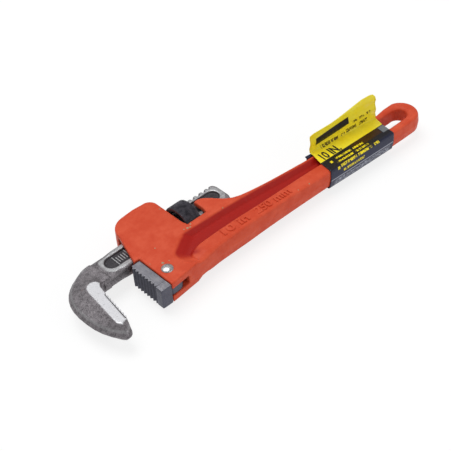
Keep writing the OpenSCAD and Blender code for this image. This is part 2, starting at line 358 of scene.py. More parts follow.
HOOK_BACK = [(-24, 34.15), (-30.4, 33.9), (-33.9, 33.2), (-37.2, 31.7), (-40.2, 29.6), (-42.8, 27.2),
             (-45.2, 24), (-47, 20.2), (-48.1, 16), (-48.6, 11), (-48.5, 5), (-47.9, -0.5), (-46.8, -5),
             (-45, -9.6), (-42.8, -13.4)] + arc(-38.6, -13.5, 3.3, 220, 335, 8)
HOOK_OUTLINE = np.array(
    HOOK_BACK + [(-34.9, -11.3), (-34.7, -10.1), (-35.4, -9.8), (-32.7, 9.4), (-31.7, 9.8),
                 (-30.8, 15.2), (-29.7, 17), (-28.2, 18.1), (-26, 18.6), (-22, 18.6)])
# The back alone, closed far off, so that the distance to it is the distance to the hook's back
HOOK_BACK_OUTLINE = np.array(HOOK_BACK + [(-20, -20), (30, -20), (30, 33.35)])
HOOK_HALF = 6.1
HOOK_BITE_START = (-34.75, -9.9)
HOOK_BITE_TILT = math.atan2(-2.9, 21.8)
PAD_OUTLINE = np.array(
    [(-29, 17.5), (-31.2, 19.9), (-33, 20.7), (-35.1, 20.1), (-36.6, 18.6), (-37.4, 16), (-40.3, -10.6),
     (-39.8, -12), (-36, -12.9), (-34.2, -11.8), (-28, 10)])
THREAD_X = (8, 58.6)
# The shank's long recess: the middles of its round ends, its radius and its depth
RECESS_X = (-14.6, 54.5)
RECESS_Y = 26.4
RECESS_R = 4.4
RECESS_DEPTH = 1.35
SHANK_START = -26.5


def from_recess_middle(x, y):
    """Distance to the line along the middle of the shank's recess."""
    return np.sqrt((x - np.clip(x, *RECESS_X)) ** 2 + (y - RECESS_Y) ** 2)


def shank_solid(x, y, z):
    """The flat shank with its thread, its recess and its rails."""
    across = y - SHANK_Y
    radius = np.sqrt(across ** 2 + z ** 2)
    # The thread winds round the shank's axis, so it is cut in both narrow edges
    wind = (x - NUT_MID) / PITCH - np.arctan2(z, across) / (2 * math.pi)
    groove = np.abs((wind + 0.5) % 1 - 0.5) * PITCH
    threaded = ease((x - THREAD_X[0]) / 0.5) * ease((THREAD_X[1] - x) / 0.5)
    depth = (CREST_R - ROOT_R) * (1 - ease((groove - 0.75) / 0.75)) * threaded
    plain = ease((-9 - x) / 7)
    flats = meet(radius - CREST_R + depth, np.abs(z) - SHANK_HALF, 0.7 + 1.8 * plain)
    end = box_distance(x, across, 0 * z, (-60, -9.2, -9), (SHANK_END, 9.2, 9), 5.4)
    solid = meet(flats, end, 1.6)
    below = SHANK_HALF - np.abs(z)
    recess = meet(from_recess_middle(x, y) - RECESS_R + below * 0.35, below - RECESS_DEPTH, 0.6)
    return cut(solid, recess, 0.5)


def hook_solid(x, y, z):
    """The whole forging: the hook with its pad, and the shank."""
    deep = np.abs(z)
    edge = outline_distance(HOOK_OUTLINE, x, y)
    back = outline_distance(HOOK_BACK_OUTLINE, x, y)
    # From the thick pad the faces fall off to the bevelled back, and level out into the shank
    neck = np.maximum(ease((x + 37) / 10.5) * ease((y - 19.5) / 6), ease((x + 30.4) / 3.6))
    inward = np.maximum(-back - 1.8 * (1 - neck), 0)
    outward = np.maximum(outline_distance(PAD_OUTLINE, x, y), 0)
    face = 2.6 + 1.15 * neck + (3.7 - 3.5 * neck) * inward / (inward + outward + 0.01)
    walls = meet(edge, back + deep * (0.72 - 0.5 * neck), 0.8)
    head = meet(meet(walls, deep - face, 0.35), deep - HOOK_HALF, 0.25)
    head = np.maximum(head, x + 20)
    shank = np.maximum(shank_solid(x, y, z), SHANK_START - x)
    return join(head, shank, 0.4 * ease((-14 - x) / 6) + 0.01)


def hook_marks(x, y, z):
    """Where the hook is bright from grinding, where its pad is, where a painted highlight runs along
    the rim of its back, and where painted shade lies on the floor of the shank's recess.
    """
    deep = np.abs(z)
    pad = ease((0.2 - outline_distance(PAD_OUTLINE, x, y)) / 0.3) * ease((deep - 5.55) / 0.15)
    pad = pad * (x < -28)
    about = from_recess_middle(x, y)
    rail = ease((x + 21.5) / 1.5) * ease((deep - SHANK_HALF + 0.22) / 0.14)
    rail = rail * ease((about - 4.0) / 0.3) * ease((7.4 - about) / 0.5)
    # The lower rail is kept darker where the nut runs
    rail = rail * (1 - 0.85 * ease((x - 6) / 8) * ease((48 - x) / 7) * ease((25.5 - y) / 1.5))
    # Painted highlight along the rim where the face turns down to the bevelled back
    crease = np.abs(outline_distance(HOOK_BACK_OUTLINE, x, y) + 1.9)
    rim_highlight = 0.4 * ease((0.75 - crease) / 0.5) * ease((-24 - x) / 6) * ease((deep - 1.5) / 0.8)
    # Painted shade on the floor of the shank's recess
    pit = ease((SHANK_HALF - deep - 0.3) / 0.5) * ease((5.0 - about) / 0.5)
    return {"ground": np.maximum(np.maximum(pad, rail), rim_highlight), "pad": pad, "pit": pit}


HEEL_X = (-12.2, -5.85)
HEEL_Y = (-9.6, 14.8)
HEEL_HALF = 6.25
HEEL_PLAIN_END = HEEL_Y[0] + 4.6
HEEL_TONGUE = rounded([(-7, -9), (1.6, -8.7), (4.2, -6.2), (5.4, -2.5), (5.4, 3), (4.4, 7.4),
                       (1.5, 10.8), (-7, 12.7)])


def heel_solid(x, y, z):
    """The block that bears the teeth, its plain lower end, and the tongue in the handle's slot."""
    block = box_distance(x, y, z, (HEEL_X[0] + 1.1, HEEL_Y[0], -HEEL_HALF),
                         (HEEL_X[1], HEEL_Y[1], HEEL_HALF), 0.3)
    plain = box_distance(x, y, z, (HEEL_X[0], HEEL_Y[0], -HEEL_HALF),
                         (HEEL_X[1], HEEL_PLAIN_END, HEEL_HALF), 0.35)
    tongue = meet(outline_distance(HEEL_TONGUE, x, y), np.abs(z) - 2.5, 0.4)
    return join(join(block, plain, 0.4), tongue, 0.5)


def heel_marks(x, y, z):
    """Painted shade on the biting face of the heel jaw, from 0 to 1."""
    return {"bite_shade": ease((HEEL_X[0] + 1.5 - x) / 0.3) * ease((y - HEEL_Y[0] - 4.3) / 0.3)}


def nut_solid(x, y, z):
    """The ring under the knurl, with its inner thread."""
    along = np.abs(x - NUT_MID)
    across = y - SHANK_Y
    radius = np.sqrt(across ** 2 + z ** 2)
    body = meet(radius - NUT_R + 0.42, along - (NUT_X[1] - NUT_X[0]) / 2, 0.5)
    wind = (x - NUT_MID) / PITCH - np.arctan2(z, across) / (2 * math.pi)
    ridge = np.abs((wind + 0.5) % 1 - 0.5) * PITCH
    bore = BORE_R - NUT_THREAD * (1 - ease((ridge - 0.5) / 0.5)) * ease((4.2 - along) / 0.8)
    return meet(body, bore - radius, 0.4)


# ---------------------------------------------------------------- materials

class Finish:
    """A material with a Principled shader and short ways to build its pattern."""

    def __init__(self, name, roughness=0.5, metallic=0.0, **sockets):
        self.material = bpy.data.materials.new(name)
        self.material.use_nodes = True
        self.nodes = self.material.node_tree.nodes
        self.links = self.material.node_tree.links
        self.shader = self.nodes["Principled BSDF"]
        self.shader.inputs["Roughness"].default_value = roughness
        self.shader.inputs["Metallic"].default_value = metallic
        for socket, value in sockets.items():
            self.shader.inputs[socket.replace("_", " ")].default_value = value
        self.place = self.add("ShaderNodeTexCoord").outputs["Object"]

    def add(self, kind, **settings):
        node = self.nodes.new(kind)
        for key, value in settings.items():
            setattr(node, key, value)
        return node

    def put(self, node, socket, value):
        if isinstance(value, bpy.types.NodeSocket):
            self.links.new(value, node.inputs[socket])
        else:
            node.inputs[socket].default_value = value

    def math(self, operation, a, b=0.0):
        node = self.add("ShaderNodeMath", operation=operation)
        self.put(node, 0, a)
        self.put(node, 1, b)
        return node.outputs[0]

    def noise(self, size, detail=3.0, rough=0.55, vector=None):
        """Noise with features about size millimetres across."""
        node = self.add("ShaderNodeTexNoise")
        self.put(node, "Vector", vector or self.place)
        self.put(node, "Scale", 1 / (size * MM))
        self.put(node, "Detail", detail)
        self.put(node, "Roughness", rough)
        return node.outputs["Fac"]

    def stretched(self, x, y, z):
        """The place with each axis stretched, for brushed streaks."""
        node = self.add("ShaderNodeMapping")
        self.put(node, "Vector", self.place)
        self.put(node, "Scale", (1 / x, 1 / y, 1 / z))
        return node.outputs[0]

    def along(self, u, v, size_u, size_v):
        """Two numbers as a place for a pattern, in millimetres, stretched by a size each way."""
        node = self.add("ShaderNodeCombineXYZ")
        self.put(node, 0, self.math("MULTIPLY", u, MM / size_u))
        self.put(node, 1, self.math("MULTIPLY", v, MM / size_v))
        return node.outputs[0]

    def ramp(self, value, low, high):
        """0 below low, 1 above high."""
        node = self.add("ShaderNodeMapRange", clamp=True)
        self.put(node, "Value", value)
        self.put(node, "From Min", low)
        self.put(node, "From Max", high)
        return node.outputs[0]

    def mix(self, amount, a, b):
        node = self.add("ShaderNodeMix", data_type="RGBA")
        self.put(node, "Factor", amount)
        for socket, value in (("A", a), ("B", b)):
            target = [s for s in node.inputs if s.name == socket and s.type == "RGBA"][0]
            if isinstance(value, bpy.types.NodeSocket):
                self.links.new(value, target)
            else:
                target.default_value = (*value, 1)
        return [s for s in node.outputs if s.type == "RGBA"][0]

    def tint(self, color, mask, amount, tone):
        """The colour turned towards a tone, by an amount where the mask is 1."""
        return self.mix(self.math("MULTIPLY", mask, amount), color, tone)

    def attribute(self, name):
        return self.add("ShaderNodeAttribute", attribute_name=name).outputs["Fac"]

    def facing_up(self):
        """1 on faces that look along Z, either way, and 0 on the sides."""
        parts = self.add("ShaderNodeSeparateXYZ")
        self.put(parts, 0, self.add("ShaderNodeNewGeometry").outputs["Normal"])
        return self.ramp(self.math("ABSOLUTE", parts.outputs[2]), 0.55, 0.85)

    def bump(self, height, depth, normal=None):
        """Relief of depth millimetres."""
        node = self.add("ShaderNodeBump")
        self.put(node, "Height", height)
        self.put(node, "Distance", depth * MM)
        if normal:
            self.put(node, "Normal", normal)
        return node.outputs[0]

    def finish(self, color, roughness=None, normal=None, metallic=None):
        for socket, value in (("Base Color", color), ("Roughness", roughness), ("Normal", normal),
                              ("Metallic", metallic)):
            if value is not None:
                self.links.new(value, self.shader.inputs[socket])
        return self.material


ENAMEL = (0.66, 0.070, 0.026)
ENAMEL_LIGHT = (0.74, 0.102, 0.044)
# Deep red of the painted shade down in the grip's recess
ENAMEL_RECESS_SHADE = (0.40, 0.008, 0.006)
CHIP_TAN = (0.56, 0.36, 0.19)
# Middle and size of each chip
CHIPS = [((5.2, 15.5, 6.7), 0.5), ((1.0, 4.6, 6.7), 0.9), ((26.6, 14.6, 6.7), 0.9),
         ((29.8, 15.8, 6.7), 0.7), ((50.0, 12.8, 6.5), 0.4), ((26.2, 36.5, 6.7), 0.6),
         ((88, -5.9, 6.0), 0.45), ((4.4, 3.6, 6.7), 0.5), ((-4, 8.6, 6.7), 0.4),
         ((96, -6.6, 5.7), 0.5), ((24.6, 15.2, 6.7), 0.5), ((28.2, 14.2, 6.7), 0.6)]


def enamel():
    """Semi-gloss enamel over a rough casting, chipped here and there, with painted shade down in the
    grip's recess.
    """
    f = Finish("orange_red_enamel", roughness=0.42, Specular_IOR_Level=0.2)
    tone = f.noise(7, 4, 0.6)
    color = f.mix(f.ramp(tone, 0.38, 0.66), ENAMEL, ENAMEL_LIGHT)
    # Painted shade: the enamel turns deep red down in the grip's recess
    color = f.tint(color, f.attribute("recess"), 0.94, ENAMEL_RECESS_SHADE)
    edge = f.noise(0.7, 4, 0.75)
    worn = None
    for (x, y, z), r in CHIPS:
        away = f.add("ShaderNodeVectorMath", operation="DISTANCE")
        f.put(away, 0, f.place)
        f.put(away, 1, tuple(to_frame((x, y, z))))
        reach = f.math("DIVIDE", away.outputs["Value"], r * MM)
        spot = f.ramp(f.math("ADD", reach, f.math("MULTIPLY", edge, 3.0)), 2.4, 2.1)
        worn = spot if worn is None else f.math("MAXIMUM", worn, spot)
    color = f.mix(worn, color, f.mix(f.ramp(edge, 0.4, 0.6), CHIP_TAN, (0.30, 0.22, 0.18)))
    roughness = f.ramp(f.noise(2.5, 3), -0.55, 1.75)
    normal = f.bump(f.noise(3.2, 2, 0.5), 0.16)
    normal = f.bump(f.noise(0.85, 2, 0.5), 0.07, normal)
    normal = f.bump(f.math("SUBTRACT", 1.0, worn), 0.06, normal)
    return f.finish(color, roughness, normal)


def forged_steel():
    """Dark forging scale, with bright metal from grinding and a painted highlight on the hook's rim
    where the marks say so, and painted shade in the shank's recess.
    """
    f = Finish("forged_steel", roughness=0.5, metallic=0.7)
    blotch = f.ramp(f.noise(2.2, 5, 0.68), 0.36, 0.68)
    speck = f.ramp(f.noise(0.45, 3, 0.6), 0.38, 0.66)
    scale_dark = f.mix(blotch, (0.062, 0.056, 0.062), (0.27, 0.245, 0.262))
    color = f.tint(scale_dark, speck, 0.55, (0.46, 0.43, 0.45))
    # Painted shade on the floor of the shank's recess
    color = f.tint(color, f.attribute("pit"), 0.8, (0.022, 0.021, 0.026))
    rust = f.ramp(f.noise(3.4, 4, 0.75), 0.665, 0.72)
    color = f.tint(color, rust, 0.5, (0.20, 0.075, 0.03))
    ground = f.attribute("ground")
    scratch = f.noise(0.5, 3, 0.7, f.stretched(6, 1, 1))
    patchy = f.math("MULTIPLY", ground, f.ramp(f.noise(1.6, 4, 0.7), 0.26, 0.4))
    bright = f.mix(f.ramp(scratch, 0.35, 0.7), (0.36, 0.36, 0.37), (0.64, 0.64, 0.65))
    color = f.mix(patchy, color, bright)
    pad = f.math("MULTIPLY", f.attribute("pad"), f.facing_up())
    pad_tone = f.mix(f.ramp(f.noise(0.7, 4, 0.7), 0.3, 0.44), (0.42, 0.42, 0.44), (0.78, 0.78, 0.81))
    color = f.tint(color, pad, 0.9, pad_tone)
    roughness = f.math("SUBTRACT", 0.56, f.math("MULTIPLY", patchy, 0.16))
    metallic = f.math("SUBTRACT", 0.7, f.math("MULTIPLY", pad, 0.35))
    rough = f.math("SUBTRACT", 1.0, f.math("MULTIPLY", ground, 0.85))
    normal = f.bump(f.math("MULTIPLY", f.noise(0.9, 4, 0.65), rough), 0.14)
    normal = f.bump(f.math("MULTIPLY", scratch, ground), 0.012, normal)
    return f.finish(color, roughness, normal, metallic)


def heel_steel():
    """Blue-grey hardened steel with grinding marks, painted lighter on its top faces and with painted
    shade on its toothed front.
    """
    f = Finish("blue_grey_steel", roughness=0.45, metallic=0.5)
    streak = f.noise(0.5, 4, 0.7, f.stretched(1.2, 7, 1))
    patch = f.noise(3, 3)
    grain = f.ramp(streak, 0.3, 0.72)
    color = f.mix(grain, (0.062, 0.062, 0.088), (0.112, 0.112, 0.148))
    # The lighter steel of the top faces: grinding grain plus painted light
    ground = f.mix(grain, (0.185, 0.185, 0.215), (0.30, 0.295, 0.325))
    ground = f.tint(ground, f.ramp(patch, 0.5, 0.72), 0.5, (0.36, 0.35, 0.37))
    # Painted shade on the toothed front face
    color = f.tint(color, f.attribute("bite_shade"), 0.85, (0.016, 0.016, 0.022))
    # Painted light: faces that look up take the lighter steel, the sides and front stay darker
    color = f.mix(f.facing_up(), color, ground)
    rust = f.ramp(f.noise(2.0, 4, 0.75), 0.69, 0.73)
    color = f.tint(color, rust, 0.7, (0.33, 0.14, 0.05))
    normal = f.bump(f.noise(0.6, 3, 0.6), 0.05, f.bump(streak, 0.03))
    return f.finish(color, f.ramp(patch, -0.6, 1.9), normal)


def black_steel():
    """Blackened steel of the adjusting nut."""
    f = Finish("blackened_steel", roughness=0.42, metallic=0.55)
    tone = f.ramp(f.noise(2.4, 4, 0.6), 0.35, 0.7)
    color = f.mix(tone, (0.036, 0.034, 0.044), (0.118, 0.112, 0.134))
    return f.finish(color, f.ramp(f.noise(1.2, 3), -0.9, 2.1), f.bump(f.noise(0.5, 3), 0.04))


def bright_steel():
    """Bright steel of the heel pin."""
    f = Finish("bright_pin_steel", roughness=0.2, metallic=1.0)
    color = f.mix(f.ramp(f.noise(1.2, 4, 0.7), 0.35, 0.6), (0.34, 0.33, 0.32), (0.70, 0.70, 0.71))
    return f.finish(color, f.ramp(f.noise(0.8, 3), -0.4, 2.4), f.bump(f.noise(0.9, 3), 0.1))


def spring_steel():
    f = Finish("spring_steel", roughness=0.3, metallic=1.0)
    color = f.mix(f.noise(1.0, 3), (0.30, 0.30, 0.32), (0.52, 0.52, 0.54))
    return f.finish(color, f.ramp(f.noise(0.7, 2), -0.5, 2.2), f.bump(f.noise(0.4, 2), 0.01))


def black_print():
    f = Finish("black_print", roughness=0.4)
    return f.finish(f.mix(f.noise(2), (0.008, 0.008, 0.01), (0.02, 0.018, 0.02)))


YELLOW = (1.0, 0.80, 0.02)
YELLOW_PALE = (1.0, 0.88, 0.06)
INK = (0.012, 0.011, 0.016)
BLUE_SHEEN_ON_INK = (0.022, 0.026, 0.060)
BROWN_INK = (0.045, 0.016, 0.004)
OCHRE_INK = (0.10, 0.065, 0.01)
CARD_GREY = (0.19, 0.205, 0.23)
LINE_GREY = (0.40, 0.42, 0.50)
# On the card, U runs along the sleeve and V round it from the fold; the yellow ends at PRINT_EDGE
PRINT_EDGE = 8.0
# Rows of dashes and bullets, on the dark side and on the flap: U from, U to, V from, V to and rise
SIDE_ROWS = ((7.6, 30, 10.1, 11.5, 0.04), (7.5, 32, 13.1, 14.5, 0.03), (8.0, 38, 16.3, 17.9, 0.0),
             (9.5, 26, 19.7, 21.2, 0.0))
BULLETS = ((5.4, 11.4), (6.2, 17.6))
BULLET_HALF = 0.8
FLAP_ROWS = ((7.5, 26, -1.6, -0.3, -0.02), (27, 43, -3.2, -0.6, -0.06), (31.6, 45, -7.6, -5.6, -0.12))


def printed_card():
    """The sleeve's print: plain fields and bars in yellow and black, laid out on its UV map, with a
    painted bluish sheen on the black down the near side.
    """
    f = Finish("printed_sleeve", roughness=0.35, Specular_IOR_Level=0.25, Coat_Weight=0.06,
               Coat_Roughness=0.12)
    split = f.add("ShaderNodeSeparateXYZ")
    f.put(split, 0, f.add("ShaderNodeUVMap", uv_map="print").outputs[0])
    u = f.math("MULTIPLY", split.outputs[0], UV_SIZE)
    v = f.math("MULTIPLY", split.outputs[1], UV_SIZE)
    soft = 0.12

    def between(value, low, high):
        return f.math("MULTIPLY", f.ramp(value, low - soft, low + soft),
                      f.ramp(value, high + soft, high - soft))

    def field(u0, u1, v0, v1, rise=0.0):
        """A strip from u0 to u1 and v0 to v1 that climbs by rise along U."""
        level = v
        if rise:
            level = f.math("SUBTRACT", v, f.math("MULTIPLY", f.math("SUBTRACT", u, u0), rise))
        return f.math("MULTIPLY", between(u, u0, u1), between(level, v0, v1))

    color = f.mix(f.ramp(f.noise(9, 3), 0.3, 0.7), YELLOW, YELLOW_PALE)
    # Painted sheen: the black print turns blue-black down the near side of the grip
    dark = f.mix(f.ramp(v, 15.5, 18.5), INK, BLUE_SHEEN_ON_INK)
    color = f.mix(f.ramp(v, PRINT_EDGE - soft, PRINT_EDGE + soft), color, dark)
    for zone, ink in (
            (field(23.0, 44.6, PRINT_EDGE + 0.5, PRINT_EDGE + 4.9), BROWN_INK),
            (field(45.2, 52, PRINT_EDGE + 0.4, PRINT_EDGE + 5.6), CARD_GREY),
            (field(4.2, 28.6, -8.2, -3.2, rise=-0.165), INK)):
        color = f.mix(zone, color, ink)
    # Rows of plain dashes where lines of print would be
    dashes = f.ramp(f.noise(1.0, 2, 0.7, f.along(u, v, 0.9, 1.5)), 0.44, 0.5)
    words = f.ramp(f.noise(1.0, 0, 0.5, f.along(u, v, 3.4, 30)), 0.36, 0.4)
    dashes = f.math("MULTIPLY", dashes, words)
    for row in SIDE_ROWS:
        color = f.tint(color, field(*row), dashes, YELLOW)
    for u0, v0 in BULLETS:
        color = f.mix(field(u0 - BULLET_HALF, u0 + BULLET_HALF, v0 - BULLET_HALF, v0 + BULLET_HALF),
                      color, YELLOW)
    for row in FLAP_ROWS:
        color = f.tint(color, field(*row), dashes, OCHRE_INK)
    # A light line along the grip, and a band of fine print below it
    fine = f.ramp(f.noise(1.0, 3, 0.7, f.along(u, v, 2.2, 0.7)), 0.44, 0.62)
    for strip, amount in ((field(0.5, 49, 22.7, 23.25), 1.0), (field(3, 47, 24.0, 27.6), fine)):
        color = f.tint(color, strip, amount, LINE_GREY)
    roughness = f.ramp(f.noise(6, 3), -0.5, 2.6)
    return f.finish(color, roughness, f.bump(f.noise(5, 2), 0.12))


# ---------------------------------------------------------------- geometry node tools

class Tree:
    """A geometry node group with inputs named for the sizes they hold, and ways to build it."""

    def __init__(self, name, **sizes):
        self.group = bpy.data.node_groups.new(name, "GeometryNodeTree")
        socket = self.group.interface.new_socket
        socket("Geometry", in_out="OUTPUT", socket_type="NodeSocketGeometry")
        for key, value in sizes.items():
            kind = "NodeSocketInt" if isinstance(value, int) else "NodeSocketFloat"
            socket(key, in_out="INPUT", socket_type=kind).default_value = value
        socket("Material", in_out="INPUT", socket_type="NodeSocketMaterial")
        source = self.group.nodes.new("NodeGroupInput")
        self.sizes = source.outputs[:len(sizes)]
        self.material = source.outputs["Material"]
        self.target = self.group.nodes.new("NodeGroupOutput")

    def add(self, kind, *values, **sockets):
        """A node's first output, with values for its first sockets and for others by name."""
        node = self.group.nodes.new(kind)
        for socket, value in (*enumerate(values), *sockets.items()):
            self.put(node, socket, value)
        return node.outputs[0]

    def put(self, node, socket, value):
        if isinstance(value, bpy.types.NodeSocket):
            self.group.links.new(value, node.inputs[socket])
        else:
            node.inputs[socket].default_value = value

    def math(self, operation, *values):
        node = self.group.nodes.new("ShaderNodeMath")
        node.operation = operation
        for index, value in enumerate(values):
            self.put(node, index, value)
        return node.outputs[0]

    def vector(self, x, y, z):
        return self.add("ShaderNodeCombineXYZ", x, y, z)

    def index(self):
        return self.add("GeometryNodeInputIndex")

    def repeat(self, points, shape, **sockets):
        """Ends the tree with a shape on each point, as plain mesh in the tree's material."""
        copies = self.add("GeometryNodeInstanceOnPoints", points, Instance=shape, **sockets)
        real = self.add("GeometryNodeRealizeInstances", copies)
        coated = self.add("GeometryNodeSetMaterial", real, Material=self.material)
        self.put(self.target, 0, coated)
        return self.group


def grown(name, group, **inputs):
    """The plain mesh piece that a geometry node group makes."""
    seed = put_in_scene(name + "_seed", bpy.data.meshes.new(name + "_seed"))
    modifier = seed.modifiers.new("grow", "NODES")
    modifier.node_group = group
    sockets = {s.name: s.identifier for s in group.interface.items_tree if s.in_out == "INPUT"}
    for key, value in inputs.items():
        modifier[sockets[key]] = value
    return put_in_scene(name, plain_mesh(seed))


def tooth_row_group():
    """A row of upright teeth of triangular section, along Y."""
    t = Tree("tooth_row", Teeth=8, Pitch=TOOTH_PITCH, Reach=0.9, Height=12.0)
    count, pitch, reach, height = t.sizes
    # A tooth is a three-sided column, turned by half a turn so that one edge looks along -X
    column = t.add("GeometryNodeMeshCylinder", 3, 2, 1, 1.0, height)
    turned = t.add("GeometryNodeTransform", column, Rotation=(0, 0, math.pi))
    half_width = t.math("MULTIPLY", pitch, 0.5)
    scale = t.vector(t.math("DIVIDE", reach, 1.45), t.math("MULTIPLY", half_width, 1.13), 1.0)
    tooth = t.add("GeometryNodeTransform", turned, Scale=scale)
    return t.repeat(t.add("GeometryNodeMeshLine", count, Offset=t.vector(0.0, pitch, 0.0)), tooth)


def knurl_group():
    """Pyramids in staggered rings round the X axis, which read as a diamond knurl."""
    t = Tree("diamond_knurl", Around=60, Rings=16, Radius=10.1, Width=9.0, Rise=0.4)
    around, rings, radius, width, rise = t.sizes
    line = t.add("GeometryNodeMeshLine", t.math("MULTIPLY", around, rings))
    index = t.index()
    ring = t.math("FLOOR", t.math("DIVIDE", t.math("ADD", index, 0.5), around))
    step = t.math("DIVIDE", width, rings)
    stagger = t.math("MULTIPLY", t.math("MODULO", ring, 2.0), 0.5)
    turn = t.math("MULTIPLY", t.math("ADD", index, stagger), 2 * math.pi)
    turn = t.math("DIVIDE", turn, around)
    from_middle = t.math("SUBTRACT", t.math("ADD", ring, 0.5), t.math("DIVIDE", rings, 2.0))
    place = t.vector(t.math("MULTIPLY", from_middle, step),
                     t.math("MULTIPLY", radius, t.math("COSINE", turn)),
                     t.math("MULTIPLY", radius, t.math("SINE", turn)))
    places = t.add("GeometryNodeSetPosition", line, Position=place)
    pyramid = t.add("GeometryNodeMeshCone", 4, 1, 1, 0.0, 1.0, 1.0)
    arc_step = t.math("DIVIDE", t.math("MULTIPLY", radius, 2 * math.pi), around)
    scale = t.vector(step, t.math("MULTIPLY", arc_step, 0.5), rise)
    knob = t.add("GeometryNodeTransform", pyramid, Scale=scale)
    lean = t.vector(t.math("SUBTRACT", turn, math.pi / 2), 0.0, 0.0)
    return t.repeat(places, knob, Rotation=lean)


def graduation_group():
    """A scale of raised bars across the shank's recess, every fifth one longer."""
    t = Tree("graduations", Bars=24, Spacing=1.25, Long=7.0, Short=4.4, Thickness=0.35, Rise=0.4)
    bars, spacing, long, short, thickness, rise = t.sizes
    line = t.add("GeometryNodeMeshLine", bars, Offset=t.vector(spacing, 0.0, 0.0))
    fifth = t.math("LESS_THAN", t.math("MODULO", t.index(), 5.0), 0.5)
    extra = t.math("MULTIPLY", fifth, t.math("SUBTRACT", long, short))
    scale = t.vector(thickness, t.math("ADD", short, extra), rise)
    return t.repeat(line, t.add("GeometryNodeMeshCube", (1, 1, 1)), Scale=scale)


# ---------------------------------------------------------------- pieces of the wrench

def coat(piece, material):
    """Gives a piece one material all over."""
    piece.data.materials.clear()
    piece.data.materials.append(material)


def place_piece(piece, body, replaced=None, material=None):
    """Gives a piece its material, hangs it on the empty of the body it rides on, and hides the CAD node
    it replaces.
    """
    if material:
        coat(piece, material)
    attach(piece, body)
    if replaced:
        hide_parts(replaced)


def build_handle():
    casting = cast("handle_casting", handle_solid, (-9.6, -11.7, -6.8), (189.2, 47.2, 6.8),
                   HANDLE_STEP, handle_marks)
    place_piece(casting, "handle", "handle", ENAMELLED)


def raised_text(name, words, size, place, thickness, stretch, weight):
    """Raised characters, in millimetres, lying flat at a place on top of the wrench."""
    curve = bpy.data.curves.new(name, "FONT")
    curve.body = words
    curve.size = size
    curve.extrude = thickness / 2
    curve.bevel_depth = 0.05
    curve.offset = weight
    curve.resolution_u = 4
    mesh = plain_mesh(put_in_scene(name + "_curve", curve))
    return stood(put_in_scene(name, mesh), place @ Matrix.Diagonal((stretch, 1, 1, 1)))


# Words of the size marks, their place and how wide they are drawn
SIZE_MARKS = (("10 in", 34.6, -3.5, 1.5), ("250 mm", 59.8, -4.0, 1.12))
MARK_HEIGHT = 6.7
MARK_TILT = math.radians(-1.4)


def build_size_marks():
    """The nominal size in raised characters on the flange of the grip, on both sides."""
    for side, name in ((1, "upper"), (-1, "under")):
        for words, x, y, stretch in SIZE_MARKS:
            z = float(half_thickness(x + 8)) - 0.02
            place = Matrix.Translation((x, y, z)) @ Matrix.Rotation(MARK_TILT, 4, "Z")
            if side < 0:
                place = Matrix.Rotation(math.pi, 4, "X") @ Matrix.Translation((x, -y - 3.4, z))
            mark = raised_text(f"size_mark_{name}_{words.replace(' ', '_')}", words, MARK_HEIGHT,
                               place, thickness=0.9, stretch=stretch, weight=0.12)
            paint_all(mark, recess=0.0)
            place_piece(mark, "handle", material=ENAMELLED)


def build_hook():
    forging = cast("hook_forging", hook_solid, (-48.8, -16.6, -6.3), (62.8, 34.4, 6.3),
                   HOOK_STEP, hook_marks)
    place_piece(forging, "hook_jaw", "hook_jaw", FORGED)
    teeth = grown("hook_teeth", tooth_row_group(), Teeth=8, Height=2 * (HOOK_HALF - 0.02),
                  Material=FORGED)
    # Mirrored, so that the teeth look at the heel jaw
    place = (Matrix.Translation((*HOOK_BITE_START, 0)) @ Matrix.Rotation(HOOK_BITE_TILT, 4, "Z")
             @ Matrix.Translation((0, TOOTH_PITCH / 2, 0)) @ Matrix.Scale(-1, 4, (1, 0, 0)))
    stood(teeth, place)
    teeth.data.flip_normals()
    paint_all(teeth, ground=0.25, pad=1.0, pit=0.0)
    place_piece(teeth, "hook_jaw")
    for side, name in ((1, "upper"), (-1, "under")):
        bars = grown(f"graduations_{name}", graduation_group(), Bars=11, Spacing=1.55,
                     Thickness=0.5, Material=FORGED)
        floor = SHANK_HALF - RECESS_DEPTH + 0.15
        stood(bars, Matrix.Translation((-12.4, RECESS_Y, side * floor)))
        paint_all(bars, ground=0.8, pad=0.0, pit=0.0)
        place_piece(bars, "hook_jaw")


def build_heel():
    block = cast("heel_block", heel_solid, (-12.3, -9.7, -6.3), (5.6, 14, 6.3), HEEL_STEP, heel_marks)
    place_piece(block, "handle", "heel_jaw", BLUE_GREY)
    teeth = grown("heel_teeth", tooth_row_group(), Teeth=8, Reach=1.15, Height=2 * (HEEL_HALF - 0.02),
                  Material=BLUE_GREY)
    stood(teeth, Matrix.Translation((HEEL_X[0] + 0.8, HEEL_PLAIN_END + 1.0, 0)))
    # Painted shade that deepens into the valleys between the teeth
    depth = np.array([(v.co[0] - ZERO[0]) / MM - HEEL_X[0] for v in teeth.data.vertices])
    paint_points(teeth, "bite_shade", 0.15 + 0.85 * ease(depth))
    place_piece(teeth, "handle")


def build_nut():
    ring = cast("nut_ring", nut_solid, (28.8, 15.2, -10.6), (38.4, 36.5, 10.6), NUT_STEP)
    place_piece(ring, "adjusting_nut", "adjusting_nut", BLACKENED)
    knurl = grown("nut_knurl", knurl_group(), Around=62, Rings=19, Radius=NUT_R - 0.46, Width=8.9,
                  Rise=0.42, Material=BLACKENED)
    stood(knurl, Matrix.Translation((NUT_MID, SHANK_Y, 0)))
    place_piece(knurl, "adjusting_nut")


